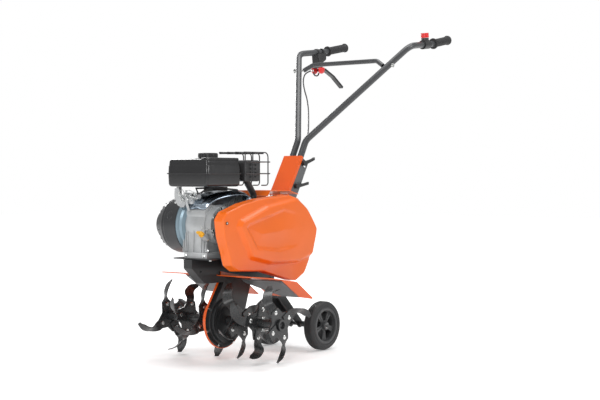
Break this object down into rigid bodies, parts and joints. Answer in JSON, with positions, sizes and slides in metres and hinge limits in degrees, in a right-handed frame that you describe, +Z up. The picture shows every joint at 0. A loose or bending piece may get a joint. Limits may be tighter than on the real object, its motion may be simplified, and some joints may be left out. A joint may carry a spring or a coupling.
{
  "type": "tiller",
  "caption": "Walk-behind petrol tiller with curved tines, belt drive cover, fenders, adjustable handlebars with clutch lever, and folding transport wheels.",
  "frame": {"origin": "centre of the bounding box on the ground that the tines and the wheels stand on", "axes": "+X towards the belt cover side, -Y towards the front (the tines), +Y towards the handlebar grips, +Z up"},
  "size_m": [0.61, 1.294, 1.2314],
  "materials": {
    "orange_paint": "satin powder coat, orange",
    "orange_plastic": "moulded plastic, semi-gloss orange",
    "black_paint": "satin powder coat, black",
    "tine_steel": "satin black powder coat on spring steel",
    "grey_sheet": "grey painted sheet",
    "black_plastic": "fine grained black plastic",
    "grey_plastic": "dark grey moulded plastic",
    "zinc": "zinc plated",
    "bare_steel": "machined steel",
    "cast_alloy": "die cast, fine blasted",
    "grip_rubber": "ribbed soft grip",
    "belt_rubber": "cloth backed belt rubber",
    "tyre": "solid tyre, fine ribs",
    "red_plastic": "red moulded plastic",
    "yellow_plastic": "yellow moulded plastic"
  },
  "bodies": {
    "frame": {"air_filter": "black_plastic", "belt_backplate": "black_paint", "belt_cover": "orange_plastic", "carburetor": "cast_alloy", "chain_case_left": "orange_paint", "chain_case_right": "black_paint", "chassis_frame": "black_paint", "clutch_cable": "black_plastic", "column_cover": "orange_plastic", "console_panel": "orange_paint", "crankcase": "cast_alloy", "crankcase_cover": "cast_alloy", "cylinder": "cast_alloy", "cylinder_shroud": "zinc", "drive_belt": "belt_rubber", "fan_housing": "grey_plastic", "fender_guards": "grey_sheet", "fender_left": "orange_paint", "fender_right": "orange_paint", "frame_bolts": "zinc", "fuel_tank": "black_plastic", "handlebar_bracket": "black_paint", "muffler": "black_paint", "muffler_guard": "black_paint", "rear_column": "black_paint", "recoil_cover": "grey_plastic", "roller_chain": "bare_steel"},
    "handlebar": {"handle_tube_left": "black_paint", "handle_tube_right": "black_paint", "crossbar": "black_paint", "handlebar_bolts": "zinc", "grip_left": "grip_rubber", "grip_right": "grip_rubber", "clutch_bracket": "black_paint", "throttle_base": "black_plastic"},
    "clutch_lever": {"clutch_lever": "black_paint"},
    "throttle_knob": {"throttle_knob": "red_plastic"},
    "clamp_lever_lower": {"clamp_lever_lower": "black_plastic"},
    "clamp_lever_upper": {"clamp_lever_upper": "black_plastic"},
    "tine_rotor": {"tine_shaft": "bare_steel", "tine_sprocket": "bare_steel", "tine_hub_left": "tine_steel", "tine_hub_right": "tine_steel", "tine_blades_left": "tine_steel", "tine_blades_right": "tine_steel", "tine_fasteners": "zinc"},
    "input_drive": {"input_shaft": "bare_steel", "driven_pulley": "bare_steel"},
    "crank_drive": {"crankshaft": "bare_steel", "crank_pulley": "bare_steel"},
    "tensioner": {"tensioner_arm": "zinc"},
    "tensioner_roller": {"tensioner_pulley": "grey_plastic"},
    "wheel_carrier": {"wheel_bracket": "black_paint"},
    "wheel_left": {"rim_left": "grey_plastic", "tyre_left": "tyre"},
    "wheel_right": {"rim_right": "grey_plastic", "tyre_right": "tyre"},
    "starter_handle": {"recoil_handle": "black_plastic"},
    "fuel_cap": {"fuel_cap": "black_plastic"},
    "dipstick": {"dipstick": "yellow_plastic"}
  },
  "joints": [
    {"name": "handlebar_height", "type": "hinge", "parent": "frame", "child": "handlebar", "pos_m": [0, -0.09086, 0.617], "axis": [-1, 0, 0], "range_deg": [0, 12], "deforming": ["clutch_cable"]},
    {"name": "clutch_lever_pull", "type": "hinge", "parent": "handlebar", "child": "clutch_lever", "pos_m": [-0.268, 0.47914, 1.106], "axis": [1, 0, 0], "range_deg": [0, 38], "stiffness_Nm_per_rad": 1.2, "springref_deg": -14.32},
    {"name": "throttle_turn", "type": "hinge", "parent": "handlebar", "child": "throttle_knob", "pos_m": [0.269, 0.45544, 1.2064], "axis": [0, -0.1228, 0.9924], "range_deg": [-60, 60]},
    {"name": "lower_clamp_turn", "type": "hinge", "parent": "frame", "child": "clamp_lever_lower", "pos_m": [0, -0.09086, 0.617], "axis": [1, 0, 0], "range_deg": [0, 90]},
    {"name": "upper_clamp_turn", "type": "hinge", "parent": "handlebar", "child": "clamp_lever_upper", "pos_m": [0, -0.04486, 0.703], "axis": [1, 0, 0], "range_deg": [0, 90]},
    {"name": "tine_spin", "type": "hinge", "parent": "frame", "child": "tine_rotor", "pos_m": [0, -0.45586, 0.14], "axis": [1, 0, 0], "continuous": true},
    {"name": "input_spin", "type": "hinge", "parent": "frame", "child": "input_drive", "pos_m": [0, -0.33086, 0.4], "axis": [1, 0, 0], "continuous": true},
    {"name": "engine_spin", "type": "hinge", "parent": "frame", "child": "crank_drive", "pos_m": [0, -0.54086, 0.483], "axis": [1, 0, 0], "continuous": true},
    {"name": "tensioner_swing", "type": "hinge", "parent": "frame", "child": "tensioner", "pos_m": [0, -0.51586, 0.538], "axis": [-1, 0, 0], "range_deg": [0, 3.8]},
    {"name": "tensioner_roll", "type": "hinge", "parent": "tensioner", "child": "tensioner_roller", "pos_m": [0, -0.42386, 0.534], "axis": [1, 0, 0], "continuous": true},
    {"name": "wheel_carrier_swing", "type": "hinge", "parent": "frame", "child": "wheel_carrier", "pos_m": [0, -0.20986, 0.262], "axis": [1, 0, 0], "range_deg": [0, 75]},
    {"name": "left_wheel_spin", "type": "hinge", "parent": "wheel_carrier", "child": "wheel_left", "pos_m": [-0.128, -0.03836, 0.092], "axis": [1, 0, 0], "continuous": true},
    {"name": "right_wheel_spin", "type": "hinge", "parent": "wheel_carrier", "child": "wheel_right", "pos_m": [0.128, -0.03836, 0.092], "axis": [1, 0, 0], "continuous": true},
    {"name": "starter_pull", "type": "slide", "parent": "frame", "child": "starter_handle", "axis": [0, 0.7071, 0.7071], "range_m": [0, 0.35], "stiffness_N_per_m": 12, "springref_m": -0.1},
    {"name": "fuel_cap_turn", "type": "hinge", "parent": "frame", "child": "fuel_cap", "pos_m": [0, -0.53586, 0.717], "axis": [0, 0, 1], "range_deg": [0, 120]},
    {"name": "dipstick_turn", "type": "hinge", "parent": "frame", "child": "dipstick", "pos_m": [0.056, -0.62906, 0.4527], "axis": [0, -0.8436, 0.5369], "range_deg": [0, 270]}
  ],
  "couplings": [
    {"joint": "input_spin", "follows": "tine_spin", "ratio": 3.4},
    {"joint": "tensioner_swing", "follows": "clutch_lever_pull", "ratio": 0.1}
  ]
}
